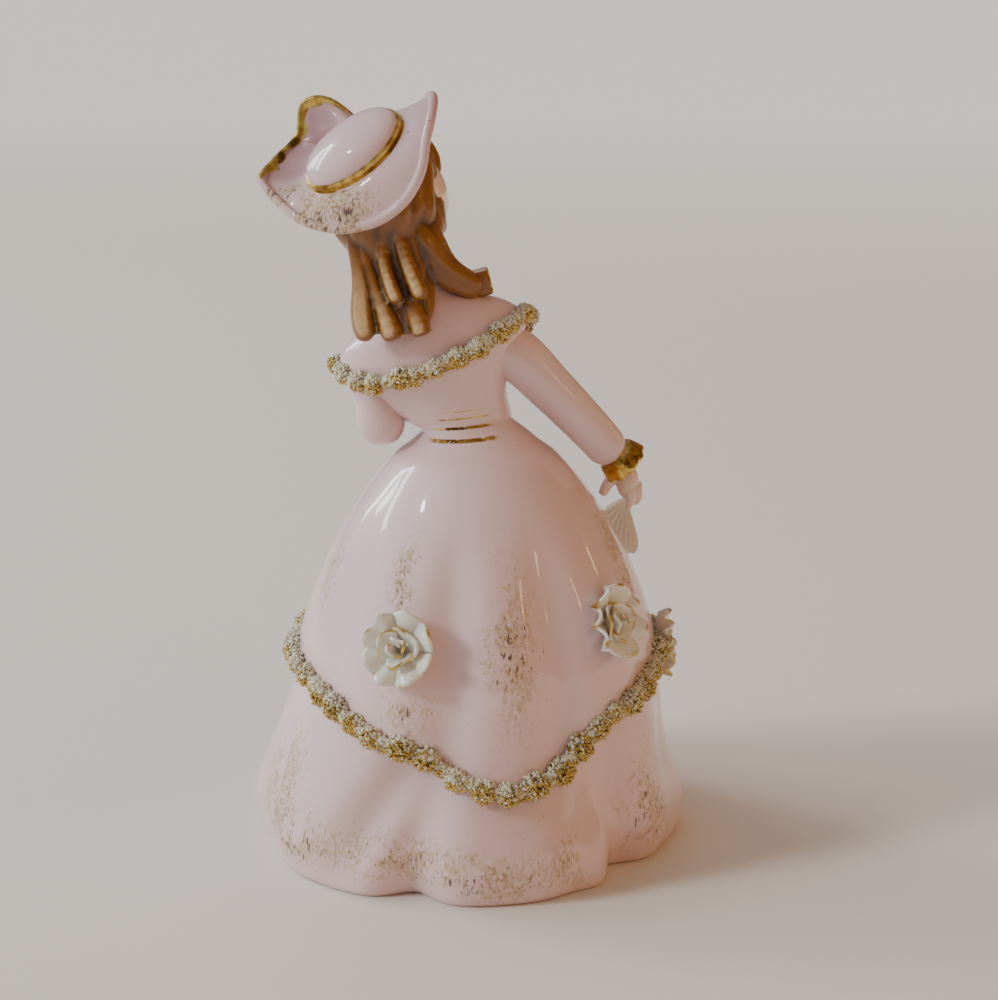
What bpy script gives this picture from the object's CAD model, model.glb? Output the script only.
"""Looks of a porcelain lady in a wide gown, with a picture hat, ringlets, roses, crumbled trim and a fan.

Every size below is in millimetres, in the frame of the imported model: +Z up, the gown faces -Y and
her right hand is at -X. Meshes are scaled to metres as they are finished.
"""

import bisect
import math
import random

import bmesh
import bpy
from mathutils import Matrix, Vector, noise
from mathutils.kdtree import KDTree


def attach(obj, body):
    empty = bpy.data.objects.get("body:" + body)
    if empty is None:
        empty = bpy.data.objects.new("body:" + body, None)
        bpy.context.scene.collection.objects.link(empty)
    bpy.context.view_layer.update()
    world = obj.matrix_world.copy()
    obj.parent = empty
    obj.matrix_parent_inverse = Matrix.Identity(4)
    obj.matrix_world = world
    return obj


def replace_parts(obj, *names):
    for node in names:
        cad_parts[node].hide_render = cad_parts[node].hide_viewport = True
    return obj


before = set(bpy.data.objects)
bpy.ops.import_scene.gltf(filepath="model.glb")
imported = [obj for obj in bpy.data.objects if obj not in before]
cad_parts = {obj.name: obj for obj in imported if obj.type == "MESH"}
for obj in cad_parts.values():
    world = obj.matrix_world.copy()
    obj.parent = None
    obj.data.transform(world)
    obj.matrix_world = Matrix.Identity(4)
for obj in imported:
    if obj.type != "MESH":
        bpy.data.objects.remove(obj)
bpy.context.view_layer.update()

MM = 0.001
TAU = 2 * math.pi

# Camera, at the photograph's viewing angle
CAMERA_PLACE = (76.2, 528.6, 223)
CAMERA_TARGET = (-7.3, 1.2, 88)
CAMERA_LENS = 78.0
WINDOW_WAY = (0.85, -0.2, 0.35)  # cool light comes from here, warm light from the other side

# Gown: the largest radius at each height, and where its middle lies along X
SKIRT_PROFILE = [
    (0, 53.8), (1.4, 55.2), (8, 56.6), (13, 56.2), (20, 53.4), (28, 50.6), (36, 48.8), (46, 46.9),
    (56, 45.1), (66, 41.8), (77, 36.9), (88, 30.4), (95.5, 24.8), (100.5, 20.3), (103.6, 16.2),
    (106.8, 12.8),
]
SKIRT_DEPTH = 0.965  # of its width, at the hem
SKIRT_LEAN = [
    (0, 0.2), (14, 0.8), (20, 0.8), (28, 0), (40, -1.5), (60, -1.8), (84, -1.8), (95, -1.7),
    (100.5, -1.6), (103.6, -1.5), (106.8, -1.2),
]
# The swag of trim: its height at each angle round the skirt
SWAG = [
    (-24, 53), (-8, 51), (4, 49.2), (20, 47.4), (36, 43.3), (57, 37.8), (66, 35.5), (79, 31),
    (94, 27.9), (105, 30.5), (117, 38), (130, 43.3), (155, 47.6), (172, 50.6), (186, 50),
    (204, 45.5), (234, 37), (266, 32), (296, 36.5), (318, 45.5), (336, 53),
]
SWAG_TUCK = 1.3  # the underskirt is drawn in this far right under the swag
SWAG_TUCK_DROP = 9
# Folds of the underskirt: angle at the hem and at FOLD_TOP, depths at three heights, half-width
FOLD_TOP = 36
HEM_FOLDS = [
    (9, 14, 3.2, 1.2, 0.8, 11), (44, 63, 0, 4.6, 3, 7), (65, 71, 7, 5, 2.8, 8),
    (112, 116, 1.6, 2.4, 1.6, 7), (132, 125, 8.8, 5.6, 2.6, 8.5), (150, 152, 2.4, 0.6, 0, 11),
    (160, 161, 0.6, 1.6, 1.2, 9), (199, 196, 5, 3.6, 1.8, 9), (236, 232, 4, 3.2, 1.8, 9),
    (270, 270, 6, 4.2, 2, 9), (306, 310, 4, 3.2, 1.8, 9), (340, 336, 5, 3, 1.2, 9),
]
# Flutes of the overskirt: angle, depth, half-width
BELL_FLUTES = [
    (30, 1.2, 12), (73, 2.6, 8), (108, 2.6, 9), (148, 1.4, 11), (196, 1.5, 11), (232, 1.8, 12), (270, 2, 11),
    (308, 1.8, 12), (338, 1.1, 10),
]
FLUTES_FADE = (68, 92)

# Sponged gold on the gown: angle, height, half-widths in degrees and millimetres, how thick it lies
GILDING = [
    (53, 77, 6, 10, 0.95), (93, 62, 11, 22, 0.8), (61, 46, 9, 6, 0.9), (16, 24, 12, 13, 0.9),
    (30, 11, 14, 7, 1), (60, 11, 14, 6, 1), (86, 8, 15, 7, 1), (110, 10, 8, 7, 0.9),
    (142, 16, 13, 13, 0.9), (156, 76, 9, 15, 0.9), (10, 72, 10, 10, 0.7), (190, 12, 12, 9, 0.9),
    (226, 11, 14, 7, 0.9), (262, 10, 15, 7, 1), (300, 12, 13, 8, 0.9), (334, 13, 13, 8, 0.9),
    (272, 60, 9, 18, 0.9), (228, 66, 6, 10, 0.7), (322, 70, 6, 9, 0.7),
]
# Gold lines at the back of the waist: height, from and to along X, width
WAIST_LINES = [
    (106.3, -5.4, 10.8, 0.9), (109, -4.4, 10, 0.75), (111.4, -3.8, 9.3, 0.5), (113.3, -2, 7.6, 0.25),
]
WAIST_LINE_MIDDLE = 1.7
WAIST_LINE_SLOPE = 0.083

# Bodice and neck: centre x, y, height, half-width, half-depth, tilt that lifts her right side
BUST_TURN = -9
BODICE = [
    (0.6, 0, 101, 11.3, 10, 0), (1.2, 0, 106, 11.4, 9.6, 2), (2.9, 0, 110, 13.4, 10.2, 4),
    (5.7, 0, 114, 15.2, 11.3, 7), (7.4, -0.3, 118.5, 17.5, 12.6, 10), (8.6, -0.3, 123, 21.2, 13.2, 12.5),
    (9.2, -0.2, 127.5, 24, 13.2, 13.5), (9.6, 0, 131.5, 23, 12.3, 13.5), (10, 0.3, 135, 19, 10.8, 13.5),
    (10.5, 0.5, 138.2, 12.5, 8.6, 13.5), (11, 0.5, 141, 7, 6.4, 13), (12, 0.2, 146, 5.2, 5.4, 12),
    (13.4, -0.4, 152, 5.1, 5.3, 12), (14.4, 0, 157, 4.6, 4.8, 10), (15, 0.4, 161, 3.4, 3.6, 8),
]
BUST_DEPTH = 3.2
BUST_HEIGHT = 121
BUST_APART = 34  # degrees from the middle of the front to the fullest part of each side
WAIST_BLEND = (106.3, 109.3)  # the skirt's rings turn into the bodice's between these heights
NECK_TOP = 161

# Arms: points with a radius, from the shoulder to the wrist
RIGHT_ARM = [
    (-4, 0, 129, 6.6), (-11.8, 0.3, 125.4, 6.7), (-20.1, 0.2, 117.3, 6.1), (-26.8, -0.6, 110.3, 5.7),
    (-32.8, -2, 103.6, 5.4), (-37, -3.6, 98.2, 5.1),
]
LEFT_ARM = [
    (22, -0.5, 128, 6.2), (25, 0, 122, 6.6), (23.2, 0.8, 115, 5.9), (22.4, 1.2, 109, 6),
    (21, -4.5, 109.4, 5.6), (16.5, -11.5, 114.2, 4.9), (10.5, -16, 119.2, 4),
]
LEFT_ELBOW = (22.1, 1.4, 108.6)
ELBOW_RADIUS = 6.1
RIGHT_WRIST = (-38, -3.9, 98.2)
LEFT_WRIST = (8.8, -16.8, 120.6)
CUFF_RADIUS = 5.9
CUFF_HEIGHT = 5.6
CUFF_FRILLS = 9
CUFF_WALL = 0.9

# Hands: palm centre and half-sizes, then each finger as points with a radius
RIGHT_PALM = ((-40.3, -5, 91.6), (3, 2.6, 4.6))
RIGHT_FINGERS = [
    ((-37.6, -4.6, 94, 1.7), (-35.2, -4.4, 91.2, 1.5), (-33.8, -4.6, 88, 1.2)),
    ((-42, -4.6, 90.4, 1.7), (-42.8, -4.4, 87.8, 1.5), (-41.4, -4.2, 86.2, 1.2)),
    ((-41, -3.4, 90, 1.3), (-41, -3.2, 87.2, 1.2), (-40.2, -3.4, 84.8, 0.9)),
    ((-42.6, -6.6, 91, 1.6), (-43, -7.6, 88.2, 1.4), (-41.6, -8, 86.4, 1.1)),
]
LEFT_PALM = ((5.6, -17.8, 123.4), (3.6, 2.2, 3.6))
LEFT_FINGERS = [
    ((5, -17.6, 124.4, 1.5), (2.6, -17, 126.6, 1.3), (0.8, -16, 127.6, 0.9)),
    ((4, -17.8, 123, 1.5), (1, -17.6, 124.6, 1.3), (-1.2, -16.8, 125.2, 0.9)),
    ((4, -17.6, 121.6, 1.4), (1.2, -17.6, 122.4, 1.2), (-1, -17, 122.6, 0.9)),
    ((7.4, -17.4, 125, 1.5), (7.2, -16.6, 127.6, 1.2), (6.4, -15.6, 129, 0.9)),
]

# Head: centre, half-sizes, turned to her right and tilted to her left
HEAD = (14.5, -1.8, 164)
HEAD_SIZE = (9.1, 10.7, 12.5)
HEAD_TURN = -28
HEAD_TILT = 16
FACE_GATHER = 0.5  # the points are gathered towards the face
# Soft forms of the face: place across and up from the eye line, half-widths, how far forward
FACE_FORMS = [
    (0, 5, 5.6, 3.4, 0.35), (3.4, 2.7, 2.6, 0.9, 0.35), (3.5, 0.1, 2.1, 1.6, -1.15),
    (3.5, 0, 1.5, 0.95, 0.75), (0, 1.4, 0.9, 2.2, 0.45), (0, -1.6, 0.8, 1.8, 0.9),
    (0, -3.9, 1, 1.15, 1.95), (1.15, -4.3, 0.7, 0.6, 0.6), (0, -5.9, 0.5, 0.7, -0.2),
    (0.9, -6.9, 1.25, 0.5, 0.7), (0, -8.05, 1.7, 0.6, 0.85), (0, -7.45, 2.3, 0.24, -0.4),
    (0, -9.3, 1.8, 0.5, -0.35), (0, -11, 2.5, 1.7, 1.3), (4.4, -4, 2.7, 2.4, 0.6),
]

# Hair behind the head, from the top: centre x, y, z, half-width and half-depth
HAIR_MASS = [
    (21.4, 4, 181.6, 3.4, 3.4), (20.6, 3, 179, 7.8, 7.6), (20, 2, 173.6, 10.8, 10.4),
    (20, 2.2, 168, 11.8, 11.2), (20, 3, 162, 12.4, 11.2), (20.6, 4, 157, 12, 9.6),
    (18.6, 5.6, 151, 10.2, 7.6), (17.6, 8, 145, 9, 6), (17.6, 10.6, 138, 9, 4.6), (18, 12, 133, 7, 3),
]
GROOVE_DEPTH = 1.3  # from groove to crest, over which the brown goes from dark to pale
# Locks of hair: how many ridges wind down each, and its points with a radius
LOCKS = [
    (0, [
        (29.4, 7, 165, 1.8), (27.6, 9.2, 154, 1.9), (26, 11.8, 146, 2.4), (25.8, 13.9, 138, 2.9),
        (24.8, 15.2, 131.4, 2.5),
    ]),
    (9, [
        (26, 9.8, 160, 1.3), (24.4, 11.7, 150, 1.5), (21.4, 14, 141.4, 1.9), (19.2, 15.5, 135.4, 2.6),
        (18.4, 15.9, 131.6, 2.4),
    ]),
    (15, [(23, 9.6, 166, 1.1), (21.8, 11.4, 157, 1.2), (19.6, 14.4, 147.6, 1.6), (16.9, 17, 141, 1.9)]),
    (15, [(19, 10, 167, 1.2), (17.4, 11.7, 158.6, 1.4), (14.4, 14.1, 149.6, 1.9), (10.9, 16, 141.8, 2.3)]),
    (6, [(15.4, 12.2, 144, 1.6), (12.6, 14.6, 137.4, 2.4), (11.2, 15.3, 132.8, 2.5)]),
]
PALE_WAY = Vector((0.35, 0.9, 0.2)).normalized()  # the locks are palest where they face this way
# Swept waves of hair: points with a radius
WAVES = [
    [(15.6, 5, 162, 5), (11.4, 6, 154.4, 5.2), (5.6, 5.4, 147, 4), (-2.8, 2.6, 141.8, 3.4)],
    [(13.4, -1, 177, 4.2), (12.1, 0.4, 169, 4.4), (10.6, 2.4, 161, 4.8), (9.4, 3.6, 155, 4.3)],
    [(23.6, -4, 176, 4.6), (25, -2, 167, 5), (26.6, 1.6, 159, 4.6), (26.4, 4.6, 152, 3.8)],
    [
        (9.4, -3, 168, 2.8), (11, -6.6, 173.4, 3.9), (15, -8.2, 176, 4.6), (21, -7.2, 173.4, 4.4),
        (24.6, -4.4, 167, 3.6),
    ],
]

# Hat: middle of the band, the crown's axis and the direction of the brim's peak
HAT = (27.5, 8, 177)
HAT_AXIS = (0.5, 0.54, 0.68)
HAT_LONG_WAY = (-0.8, 0, 0.6)
CROWN_LENGTH = 13.1
CROWN_WIDTH = 9.6
CROWN_SHIFT = -1.2
CROWN_HEIGHT = 4
BAND_HEIGHT = 1.8
BAND_STEP = 0.6
BRIM_THICKNESS = 1.9
BEAD = 1.2  # the brim's edge is rolled into a bead
BEAD_DIP = 0.8  # the brim dips inside its bead
BRIM_HOLLOW = 3  # how far the hat's underside lies below the band's foot
BRIM_CUP = 1.1
BRIM_LOBES = [(102, 16), (150, 22)]  # the cupped lobes: angle and half-width
BRIM_GOLD = 3  # width of the gold on the lobes
# The brim at each angle round the hat: its reach and how far it rises
BRIM_RADIUS = [
    (-20, 23), (0, 23.8), (20, 18.8), (45, 14.6), (70, 14.6), (86, 20.6), (102, 24.2), (120, 22.6),
    (142, 24.2), (162, 25.2), (180, 23.4), (200, 22.6), (240, 22.9), (280, 22.6), (300, 22.4),
    (320, 21.8), (340, 23), (360, 23.4),
]
BRIM_RISE = [
    (-20, 0.8), (0, 0), (20, -5.5), (45, -8), (70, -6.5), (86, 2.8), (102, 4.7), (120, 1), (142, 2.4),
    (162, 4.8), (180, 2.8), (200, 0), (220, -1.2), (240, -3.2), (260, -4.8), (280, -4.8), (300, -3),
    (320, -0.4), (340, 0.8), (360, 0),
]

# Ribbon tied square round the end of the shoulder lock: middle, size and lean
RIBBON = (-2.7, 1.5, 143.8)
RIBBON_SIZE = (5.6, 5, 6.6)
RIBBON_LEAN = 15

# Trim of the neckline: the points it runs through
NECKLINE = [
    (34.1, 0, 123), (29.8, 7.6, 120.8), (22.2, 12.4, 120.6), (13.4, 15.2, 123), (3, 15.6, 126.8),
    (-6.4, 12.4, 131.4), (-13, 6.4, 135.8), (-15.6, -0.6, 136), (-14, -7.6, 131.4), (-5.4, -13.4, 126.6),
    (4, -16.6, 122.4), (14, -16.4, 120), (23.4, -13, 119.2), (30.4, -7.2, 120.6),
]
NECKLINE_MIDDLE = (9.5, -0.5, 126)
NECKLINE_SINK = 1.2  # the core lies this far inside the points
SWAG_LIFT = 1  # the core's middle lies this far out of the gown
# Each trim: radius and steps of its plain core, how many clumps and how far they reach, grains in each,
# loose grains between them, how far a clump strays up or down, how much is gilded, and its seed
SWAG_ROLL = {
    "core": 1.7, "steps": 260, "clumps": 44, "radius": 3.3, "grains": 320, "filling": 6000,
    "stray": 0.7, "gilt": 0.5, "seed": 3,
}
NECKLINE_ROLL = {
    "core": 1.4, "steps": 160, "clumps": 24, "radius": 2.6, "grains": 280, "filling": 2600,
    "stray": 0.5, "gilt": 0.42, "seed": 11,
}
GRAIN_THICKNESS = (0.36, 0.6)
GRAIN_WIDTH = (0.8, 1.2)  # to its thickness
GRAIN_LENGTH = (1, 1.7)  # to its thickness

# Roses: angle round the gown and height
ROSES = {
    "rose_back_left": (57.5, 61),
    "rose_back_right": (130, 63.8),
    "rose_right_hip": (175, 48.6),
    "rose_front": (304, 61),
}
ROSE_RADIUS = 8.8
ROSE_HEART = 0.6  # the collar starts this far from the rose's middle
ROSE_LOBES = 8
PETAL_THICKNESS = 0.7
# Petals curled round a rose's heart: reach, low and high edge above the gown, turn in radians
CURLED_PETALS = [
    (4.9, 1.6, 5, 2.6), (4.6, 1.7, 5.4, 2.3), (4, 1.8, 5.8, 2.2), (2.9, 1.9, 6.2, 2.4), (1.6, 2, 6.4, 5.2),
]
PETAL_STEP = 2.2  # how far round each one starts after the one before

FAN_PIVOT = (-40.2, -6, 87.6)
FAN_INNER_TIP = (-32.6, -24, 78.6)
FAN_OUTER_TIP = (-45.4, -11.6, 68)
FAN_RIBS = 8
FAN_GUARD = 0.62  # length of the outer folds, of the longest
FAN_FOLD = 0.25
FAN_LEAF = 0.72


def smooth(table, x):
    """A value at x between the rows (x, value) of a table, on a smooth curve."""
    last = len(table) - 1
    i = 0
    while i < last - 1 and x > table[i + 1][0]:
        i += 1

    def slope(a, b):
        return (table[b][1] - table[a][1]) / (table[b][0] - table[a][0])

    span = table[i + 1][0] - table[i][0]
    s = min(max((x - table[i][0]) / span, 0), 1)
    start = slope(max(i - 1, 0), i + 1) * span
    end = slope(i, min(i + 2, last)) * span
    low, high = table[i][1], table[i + 1][1]
    bend = 3 * (high - low) - 2 * start - end
    return low + s * start + s * s * bend + s**3 * (2 * (low - high) + start + end)


def around(table, angle):
    """The same for a table that goes once round, in degrees."""
    return smooth(table, (angle - table[0][0]) % 360 + table[0][0])


def between(p, q, r, w, s):
    """The value at s, from 0 to 1, between q and r on a smooth curve through all four."""
    return q + 0.5 * ((r - p) * s + (2 * p - 5 * q + 4 * r - w) * s * s + (3 * q - p - 3 * r + w) * s**3)


def through(rows, t):
    """The row at t, from 0 to 1, on a smooth path through rows of numbers."""
    last = len(rows) - 1
    i = min(int(t * last), last - 1)
    near = zip(rows[max(i - 1, 0)], rows[i], rows[i + 1], rows[min(i + 2, last)])
    return [between(*values, t * last - i) for values in near]


def step(x, low, high):
    """0 below low and 1 above high, smooth between."""
    s = min(max((x - low) / (high - low), 0), 1)
    return s * s * (3 - 2 * s)


def apart(a, b):
    """How far angle a is from angle b, in degrees, from -180 to 180."""
    return (a - b + 540) % 360 - 180


def dent(distance, width):
    """1 at no distance, fading to nothing past the half-width."""
    return math.exp(-((distance / width) ** 2))


def bust(x, y, z):
    """A point of the figure above the waist, which is turned a little on the gown."""
    turn = math.radians(BUST_TURN)
    return Vector((x * math.cos(turn) - y * math.sin(turn), x * math.sin(turn) + y * math.cos(turn), z))


def bust_back(place):
    """Undoes the turn of the bust."""
    turn = math.radians(BUST_TURN)
    return Vector((
        place.x * math.cos(turn) + place.y * math.sin(turn),
        place.y * math.cos(turn) - place.x * math.sin(turn),
        place.z,
    ))


def skirt_radius(angle, z):
    """How far the gown reaches at an angle and a height: overskirt above the swag, underskirt below."""
    swag = around(SWAG, angle)
    under = 1 - step(z, swag - 4, swag + 3)
    radius = smooth(SKIRT_PROFILE, z)
    for foot, top, hem, half, high, width in HEM_FOLDS:
        middle = foot + (top - foot) * z / FOLD_TOP
        depth = smooth([(0, hem), (FOLD_TOP / 2, half), (FOLD_TOP, high)], z)
        radius -= under * depth * dent(apart(angle, middle), width)
    for middle, depth, width in BELL_FLUTES:
        fade = (1 - under) * (1 - step(z, *FLUTES_FADE))
        radius -= fade * depth * dent(apart(angle, middle), width)
    radius -= under * SWAG_TUCK * dent(max(swag - z, 0), SWAG_TUCK_DROP)
    shallow = (1 - SKIRT_DEPTH) * math.sin(math.radians(angle)) ** 2 * (1 - step(z, 0, FOLD_TOP))
    return radius * (1 - shallow)


def skirt_point(angle, z, lift=0):
    """A point of the gown, or of a surface that lies a little off it."""
    reach = skirt_radius(angle, z) + lift
    turn = math.radians(angle)
    return Vector((smooth(SKIRT_LEAN, z) + reach * math.cos(turn), reach * math.sin(turn), z))


def bodice_point(angle, height):
    """A point of the bodice and neck on the ring whose middle is at height."""
    rows = [[(row[2], row[k]) for row in BODICE] for k in (0, 1, 3, 4, 5)]
    x, y, width, depth, tilt = (smooth(row, height) for row in rows)
    turn = math.radians(angle - BUST_TURN)
    front = 0
    if math.sin(turn) < 0:
        side = abs(abs(apart(angle - BUST_TURN, -90)) - BUST_APART)
        front = BUST_DEPTH * dent(side, 26) * dent(height - BUST_HEIGHT, 5.5)
    across = width * math.cos(turn)
    deep = (depth + front) * math.sin(turn)
    lean = math.radians(tilt)
    return bust(x + across * math.cos(lean), y + deep, height - across * math.sin(lean))


def shell(sides, rings, place):
    """A closed surface of rings between two poles: place(turn, ring) gives a point, from the bottom up."""
    made = bmesh.new()
    bmesh.ops.create_uvsphere(made, u_segments=sides, v_segments=rings, radius=1)
    for v in made.verts:
        ring = rings - round(math.acos(min(max(v.co.z, -1), 1)) / math.pi * rings)
        v.co = place(math.atan2(v.co.y, v.co.x), ring)
    return made


def hoop(sides, steps, place):
    """A closed roll: place(along, turn) gives the point at an angle along the loop and round the roll."""
    wide = 3
    made = bmesh.new()
    bmesh.ops.create_circle(made, segments=sides, radius=1)
    upright = Matrix.Translation((wide, 0, 0)) @ Matrix.Rotation(math.pi / 2, 4, "X")
    bmesh.ops.transform(made, matrix=upright, verts=made.verts)
    ring = made.verts[:] + made.edges[:]
    bmesh.ops.spin(
        made, geom=ring, cent=(0, 0, 0), axis=(0, 0, 1), angle=TAU, steps=steps, use_merge=True
    )
    for v in made.verts:
        roll = math.atan2(v.co.z, math.hypot(v.co.x, v.co.y) - wide)
        v.co = place(math.atan2(v.co.y, v.co.x), roll)
    return made


def limb(points, sides, rings, groove=None):
    """A round-ended limb along points with a radius; groove(t, turn) scales its radius."""
    reach_on = 0.02
    ends = 7  # each round end takes a seventh of the way

    def place(turn, ring):
        t = (1 - math.cos(math.pi * ring / rings)) / 2
        x, y, z, radius = through(points, t)
        ahead = Vector(through(points, min(t + reach_on, 1))[:3])
        behind = Vector(through(points, max(t - reach_on, 0))[:3])
        along = (ahead - behind).normalized()
        side = Vector((0, 1, 0.05)).cross(along).normalized()
        out = along.cross(side)
        near = min(t, 1 - t) * ends
        taper = math.sqrt(max(1 - (1 - near) ** 2, 0)) if near < 1 else 1
        reach = radius * taper * (groove(t, turn) if groove else 1)
        local = Vector((x, y, z)) + side * reach * math.cos(turn) + out * reach * math.sin(turn)
        return bust(*local)

    return shell(sides, rings, place)


def egg(centre, size, sides, rings):
    """A ball with a half-size each way."""
    made = bmesh.new()
    bmesh.ops.create_uvsphere(made, u_segments=sides, v_segments=rings, radius=1)
    for v in made.verts:
        v.co = bust(*(c + s * k for c, s, k in zip(centre, size, v.co)))
    return made


def piece_of(made, name, *finishes):
    """A finished bmesh in millimetres as an object in metres, smooth shaded."""
    bmesh.ops.recalc_face_normals(made, faces=made.faces)
    if made.calc_volume(signed=True) < 0:
        bmesh.ops.reverse_faces(made, faces=made.faces)
    for face in made.faces:
        face.smooth = True
    bmesh.ops.scale(made, vec=(MM, MM, MM), verts=made.verts)
    mesh = bpy.data.meshes.new(name)
    made.to_mesh(mesh)
    made.free()
    piece = bpy.data.objects.new(name, mesh)
    bpy.context.scene.collection.objects.link(piece)
    for finish in finishes:
        mesh.materials.append(finish)
    return piece


def joined(name, parts):
    """Several objects made into one piece."""
    with bpy.context.temp_override(active_object=parts[0], selected_editable_objects=parts):
        bpy.ops.object.join()
    parts[0].name = name
    parts[0].data.name = name
    return parts[0]


def fused(name, shells, voxel, rounds, finish):
    """Several closed shells made into one skin, as slip fills the joints of a casting."""
    parts = [piece_of(made, name) for made in shells]
    whole = joined(name, parts)
    remesh = whole.modifiers.new("one skin", "REMESH")
    remesh.mode = "VOXEL"
    remesh.voxel_size = voxel * MM
    remesh.use_smooth_shade = True
    soften = whole.modifiers.new("soften", "SMOOTH")
    soften.factor = 0.5
    soften.iterations = rounds
    dressed = bpy.data.meshes.new_from_object(whole.evaluated_get(bpy.context.evaluated_depsgraph_get()))
    whole.modifiers.clear()
    whole.data = dressed
    dressed.materials.clear()
    dressed.materials.append(finish)
    return whole


def set_values(piece, name, value):
    """A number on each vertex: value(point in mm, normal)."""
    mesh = piece.data
    layer = mesh.attributes.new(name, "FLOAT", "POINT")
    for v, item in zip(mesh.vertices, layer.data):
        item.value = value(v.co / MM, v.normal)


# Finishes


class Finish:
    """A short way to add nodes, to a new material or to a tree that is given."""

    def __init__(self, name, tree=None):
        self.tree = tree
        if tree is None:
            self.material = bpy.data.materials.new(name)
            self.material.use_nodes = True
            self.tree = self.material.node_tree
            self.surface = self.tree.nodes["Principled BSDF"]

    def feed(self, socket, value):
        """Links a socket to another one, or gives it a plain value."""
        if isinstance(value, bpy.types.NodeSocket):
            self.tree.links.new(value, socket)
        else:
            socket.default_value = value

    def node(self, kind, settings=(), **inputs):
        """A node with settings; an input is named with _ for a space, or by its number as in i0."""
        made = self.tree.nodes.new("ShaderNode" + kind)
        for key, value in dict(settings).items():
            setattr(made, key, value)
        for key, value in inputs.items():
            numbered = key[0] == "i" and key[1:].isdigit()
            self.feed(made.inputs[int(key[1:]) if numbered else key.replace("_", " ")], value)
        return made

    def math(self, operation, a, b=0.0, c=0.0, clamp=False):
        return self.node("Math", {"operation": operation, "use_clamp": clamp}, i0=a, i1=b, i2=c).outputs[0]

    def ramp(self, value, low, high):
        """0 below low and 1 above high, smooth between."""
        settings = {"interpolation_type": "SMOOTHSTEP"}
        return self.node("MapRange", settings, Value=value, From_Min=low, From_Max=high).outputs[0]

    def mix(self, share, a, b):
        """Colour a where share is 0 and colour b where it is 1."""
        return self.node("Mix", {"data_type": "RGBA"}, i0=share, i6=a, i7=b).outputs[2]

    def attribute(self, name):
        return self.node("Attribute", {"attribute_name": name}).outputs["Fac"]

    def place(self):
        return self.node("TexCoord").outputs["Object"]

    def noise(self, scale, detail=3.0, roughness=0.5, vector=None):
        inputs = {"Vector": vector or self.place(), "Scale": scale, "Detail": detail, "Roughness": roughness}
        return self.node("TexNoise", (), **inputs).outputs["Fac"]

    def set(self, **inputs):
        """Values and links of the surface itself."""
        for key, value in inputs.items():
            self.feed(self.surface.inputs[key.replace("_", " ")], value)


def colour(red, green, blue):
    """A colour given as it looks on screen, 0 to 255."""

    def linear(value):
        value /= 255
        return value / 12.92 if value <= 0.04045 else ((value + 0.055) / 1.055) ** 2.4

    return (linear(red), linear(green), linear(blue), 1)


PINK = colour(228, 196, 195)
PINK_DEEP = colour(216, 176, 172)
BLUSH = colour(208, 138, 136)
MAUVE = colour(146, 92, 94)
GOLD = colour(234, 202, 110)
GOLD_DEEP = colour(176, 136, 62)
GOLD_DARK = colour(74, 44, 44)
GOLD_HAZE = colour(196, 168, 128)
GOLD_SPECK = colour(162, 126, 78)
GOLD_WORN = colour(122, 86, 34)
GOLD_BROWN = colour(112, 68, 28)
CRUMB_GOLD = colour(232, 200, 110)
CRUMB_GOLD_DEEP = colour(168, 132, 60)
CREAM = colour(236, 232, 220)
CRUMB_WHITE = colour(226, 220, 196)
CRUMB_SHADE = colour(200, 186, 154)
CREAM_SHADE = colour(205, 190, 165)
FAN_CREAM = colour(226, 214, 186)
FAN_SHADE = colour(202, 186, 150)
HAIR_BROWN = colour(136, 84, 16)
HAIR_DARK = colour(76, 46, 14)
HAIR_TAN = colour(230, 196, 146)
SKIN = colour(232, 200, 188)
EYE_WHITE = colour(240, 236, 232)
IRIS = colour(86, 106, 128)
LASH = colour(52, 32, 26)
LIPS = colour(196, 84, 84)
LIP_LINE = colour(120, 40, 44)
PAPER = colour(230, 222, 214)
PAPER_GLOW = colour(240, 234, 228)
# Light of the room, in plain linear values
WARM_ROOM = (0.48, 0.25, 0.11, 1)
COOL_ROOM = (0.8, 0.87, 1, 1)
WALL = (1.8, 1.68, 1.56, 1)
COOL_LAMP = (0.93, 0.96, 1)
WARM_LAMP = (1, 0.7, 0.42)


def glaze(finish):
    """The clear glass coat of fired porcelain."""
    finish.set(Roughness=0.3, Coat_Roughness=0.04, Coat_IOR=1.5, Specular_IOR_Level=0.5)
    finish.surface.inputs["Coat Weight"].default_value = 1.0


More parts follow.
